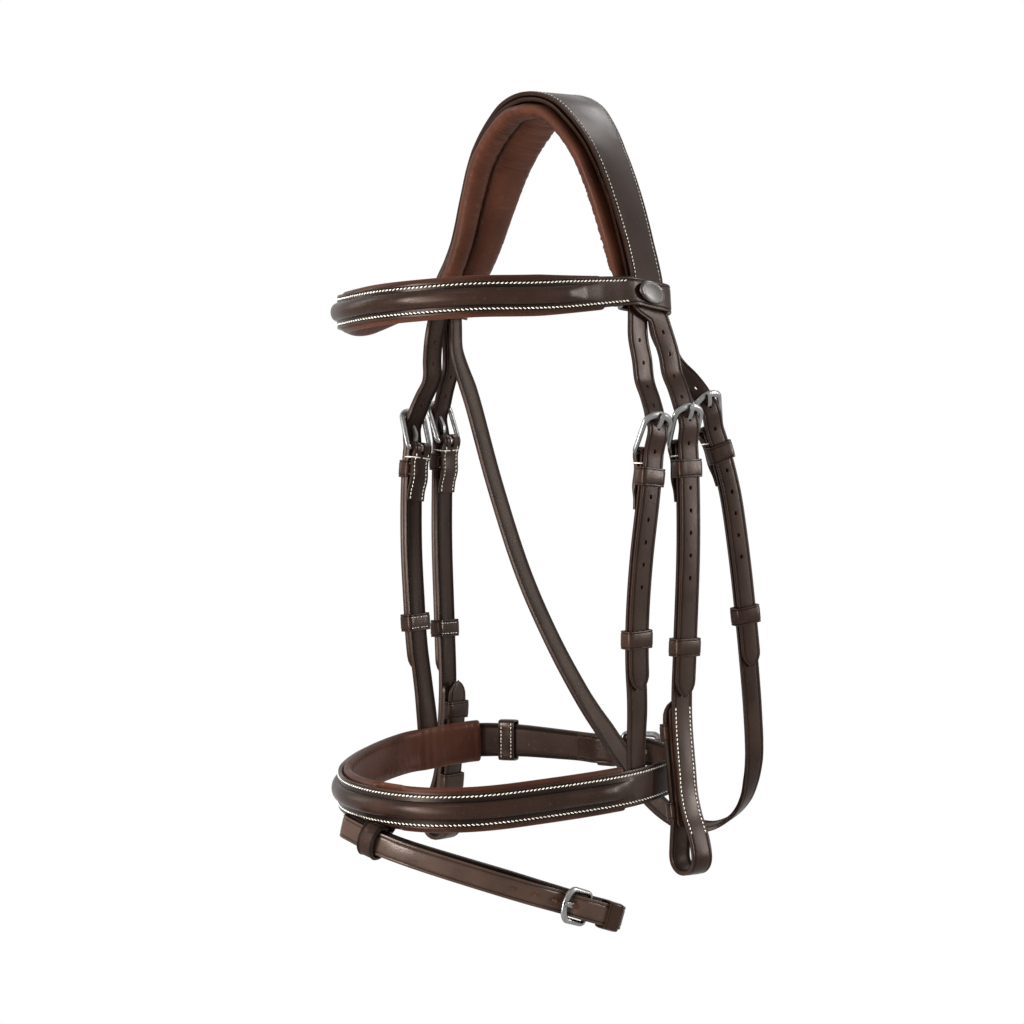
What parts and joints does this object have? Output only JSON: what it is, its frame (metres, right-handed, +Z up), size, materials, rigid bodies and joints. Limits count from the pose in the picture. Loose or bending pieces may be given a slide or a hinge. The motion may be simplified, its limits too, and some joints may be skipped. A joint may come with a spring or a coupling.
{
  "type": "flash noseband bridle",
  "caption": "Padded leather bridle with raised browband and flash noseband, throatlatch, buckled cheekpieces with bit loops, and keepers.",
  "frame": {"origin": "underside of the padded headpiece at the middle of the poll", "axes": "+Z up along the hanging bridle, -Y the way the horse faces, +X its near (left) side"},
  "size_m": [0.2622, 0.2654, 0.54],
  "materials": {
    "bridle_leather": "satin",
    "lining_leather": "matte",
    "buckle_steel": "satin",
    "button_steel": "satin"
  },
  "bodies": {
    "bridle": {"flash_loop": "bridle_leather", "headpiece": "bridle_leather", "headpiece_pad": "lining_leather", "near_cheek_fixed_keeper": "bridle_leather", "near_cheekpiece": "bridle_leather", "near_hook_stud": "buckle_steel", "near_lower_bit_keeper": "bridle_leather", "near_nose_fixed_keeper": "bridle_leather", "near_nose_hanger": "bridle_leather", "near_stud_strap": "bridle_leather", "near_throat_billet": "bridle_leather", "near_upper_bit_keeper": "bridle_leather", "noseband": "bridle_leather", "noseband_fixed_keeper": "bridle_leather", "noseband_headstrap": "bridle_leather", "noseband_pad": "lining_leather", "off_cheek_fixed_keeper": "bridle_leather", "off_cheekpiece": "bridle_leather", "off_hook_stud": "buckle_steel", "off_lower_bit_keeper": "bridle_leather", "off_nose_fixed_keeper": "bridle_leather", "off_nose_hanger": "bridle_leather", "off_stud_strap": "bridle_leather", "off_upper_bit_keeper": "bridle_leather", "throat_fixed_keeper": "bridle_leather", "throatlatch": "bridle_leather"},
    "near_cheek_buckle_frame_body": {"near_cheek_buckle_frame": "buckle_steel"},
    "near_cheek_buckle_tongue_body": {"near_cheek_buckle_tongue": "buckle_steel"},
    "off_cheek_buckle_frame_body": {"off_cheek_buckle_frame": "buckle_steel"},
    "off_cheek_buckle_tongue_body": {"off_cheek_buckle_tongue": "buckle_steel"},
    "near_nose_buckle_frame_body": {"near_nose_buckle_frame": "buckle_steel"},
    "near_nose_buckle_tongue_body": {"near_nose_buckle_tongue": "buckle_steel"},
    "off_nose_buckle_frame_body": {"off_nose_buckle_frame": "buckle_steel"},
    "off_nose_buckle_tongue_body": {"off_nose_buckle_tongue": "buckle_steel"},
    "throat_buckle_frame_body": {"throat_buckle_frame": "buckle_steel"},
    "throat_buckle_tongue_body": {"throat_buckle_tongue": "buckle_steel"},
    "noseband_buckle_frame_body": {"noseband_buckle_frame": "buckle_steel"},
    "noseband_buckle_tongue_body": {"noseband_buckle_tongue": "buckle_steel"},
    "flash_buckle_frame_body": {"flash_buckle_frame": "buckle_steel"},
    "flash_buckle_tongue_body": {"flash_buckle_tongue": "buckle_steel"},
    "near_cheek_loose_keeper_body": {"near_cheek_loose_keeper": "bridle_leather"},
    "off_cheek_loose_keeper_body": {"off_cheek_loose_keeper": "bridle_leather"},
    "near_nose_loose_keeper_body": {"near_nose_loose_keeper": "bridle_leather"},
    "off_nose_loose_keeper_body": {"off_nose_loose_keeper": "bridle_leather"},
    "throat_loose_keeper_body": {"throat_loose_keeper": "bridle_leather"},
    "noseband_loose_keeper_body": {"noseband_loose_keeper": "bridle_leather"},
    "browband": {"browband": "bridle_leather", "browband_pad": "lining_leather", "near_button": "button_steel", "off_button": "button_steel"},
    "flash": {"flash_strap": "bridle_leather", "flash_keeper": "bridle_leather"}
  },
  "joints": [
    {"name": "near_cheek_frame_hinge", "type": "hinge", "parent": "bridle", "child": "near_cheek_buckle_frame_body", "pos_m": [0.11041, 0.00835, -0.21625], "axis": [0.0995, 0.9945, 0.0324], "range_deg": [0, 1.2]},
    {"name": "near_cheek_tongue_hinge", "type": "hinge", "parent": "near_cheek_buckle_frame_body", "child": "near_cheek_buckle_tongue_body", "pos_m": [0.11041, 0.00835, -0.21625], "axis": [0.0995, 0.9945, 0.0324], "range_deg": [0, 1.2]},
    {"name": "off_cheek_frame_hinge", "type": "hinge", "parent": "bridle", "child": "off_cheek_buckle_frame_body", "pos_m": [-0.11041, 0.00835, -0.21625], "axis": [0.0995, -0.9945, -0.0324], "range_deg": [0, 1.2]},
    {"name": "off_cheek_tongue_hinge", "type": "hinge", "parent": "off_cheek_buckle_frame_body", "child": "off_cheek_buckle_tongue_body", "pos_m": [-0.11041, 0.00835, -0.21625], "axis": [0.0995, -0.9945, -0.0324], "range_deg": [0, 1.2]},
    {"name": "near_nose_frame_hinge", "type": "hinge", "parent": "bridle", "child": "near_nose_buckle_frame_body", "pos_m": [0.10781, -0.02123, -0.22117], "axis": [0.0595, 0.9918, -0.1135], "range_deg": [0, 1.2]},
    {"name": "near_nose_tongue_hinge", "type": "hinge", "parent": "near_nose_buckle_frame_body", "child": "near_nose_buckle_tongue_body", "pos_m": [0.10781, -0.02123, -0.22117], "axis": [0.0595, 0.9918, -0.1135], "range_deg": [0, 1.2]},
    {"name": "off_nose_frame_hinge", "type": "hinge", "parent": "bridle", "child": "off_nose_buckle_frame_body", "pos_m": [-0.10781, -0.02123, -0.22117], "axis": [0.0595, -0.9918, 0.1135], "range_deg": [0, 1.2]},
    {"name": "off_nose_tongue_hinge", "type": "hinge", "parent": "off_nose_buckle_frame_body", "child": "off_nose_buckle_tongue_body", "pos_m": [-0.10781, -0.02123, -0.22117], "axis": [0.0595, -0.9918, 0.1135], "range_deg": [0, 1.2]},
    {"name": "throat_frame_hinge", "type": "hinge", "parent": "bridle", "child": "throat_buckle_frame_body", "pos_m": [0.10768, 0.03769, -0.20716], "axis": [0.1829, 0.9146, 0.3607], "range_deg": [0, 1.2]},
    {"name": "throat_tongue_hinge", "type": "hinge", "parent": "throat_buckle_frame_body", "child": "throat_buckle_tongue_body", "pos_m": [0.10768, 0.03769, -0.20716], "axis": [0.1829, 0.9146, 0.3607], "range_deg": [0, 1.2]},
    {"name": "noseband_frame_hinge", "type": "hinge", "parent": "bridle", "child": "noseband_buckle_frame_body", "pos_m": [0.0166, 0.05126, -0.42461], "axis": [0.0245, 0.0047, 0.9997], "range_deg": [0, 0.2]},
    {"name": "noseband_tongue_hinge", "type": "hinge", "parent": "noseband_buckle_frame_body", "child": "noseband_buckle_tongue_body", "pos_m": [0.0166, 0.05126, -0.42461], "axis": [0.0245, 0.0047, 0.9997], "range_deg": [0, 0.2]},
    {"name": "flash_frame_hinge", "type": "hinge", "parent": "flash", "child": "flash_buckle_frame_body", "pos_m": [0.10493, -0.07216, -0.50872], "axis": [0.1121, 0.2845, 0.9521], "range_deg": [0, 1.2]},
    {"name": "flash_tongue_hinge", "type": "hinge", "parent": "flash_buckle_frame_body", "child": "flash_buckle_tongue_body", "pos_m": [0.10493, -0.07216, -0.50872], "axis": [0.1121, 0.2845, 0.9521], "range_deg": [0, 1.2]},
    {"name": "near_cheek_keeper_slide", "type": "slide", "parent": "bridle", "child": "near_cheek_loose_keeper_body", "axis": [0.0453, 0.0005, 0.999], "range_m": [-0.012, 0.012]},
    {"name": "off_cheek_keeper_slide", "type": "slide", "parent": "bridle", "child": "off_cheek_loose_keeper_body", "axis": [-0.0453, 0.0005, 0.999], "range_m": [-0.012, 0.012]},
    {"name": "near_nose_keeper_slide", "type": "slide", "parent": "bridle", "child": "near_nose_loose_keeper_body", "axis": [0.0464, -0.0365, 0.9983], "range_m": [-0.01, 0.01]},
    {"name": "off_nose_keeper_slide", "type": "slide", "parent": "bridle", "child": "off_nose_loose_keeper_body", "axis": [-0.0464, -0.0365, 0.9983], "range_m": [-0.01, 0.01]},
    {"name": "throat_keeper_slide", "type": "slide", "parent": "bridle", "child": "throat_loose_keeper_body", "axis": [-0.0052, -0.1467, 0.9892], "range_m": [-0.006, 0.008]},
    {"name": "noseband_keeper_slide", "type": "slide", "parent": "bridle", "child": "noseband_loose_keeper_body", "axis": [0.8955, 0.4451, 0.0001], "range_m": [-0.0015, 0.0015]},
    {"name": "browband_slide", "type": "slide", "parent": "bridle", "child": "browband", "axis": [0, 0, 1], "range_m": [-0.0006, 0.0005]},
    {"name": "flash_slide", "type": "slide", "parent": "bridle", "child": "flash", "axis": [0.9418, 0.1854, -0.2804], "range_m": [-0.003, 0.003]}
  ]
}
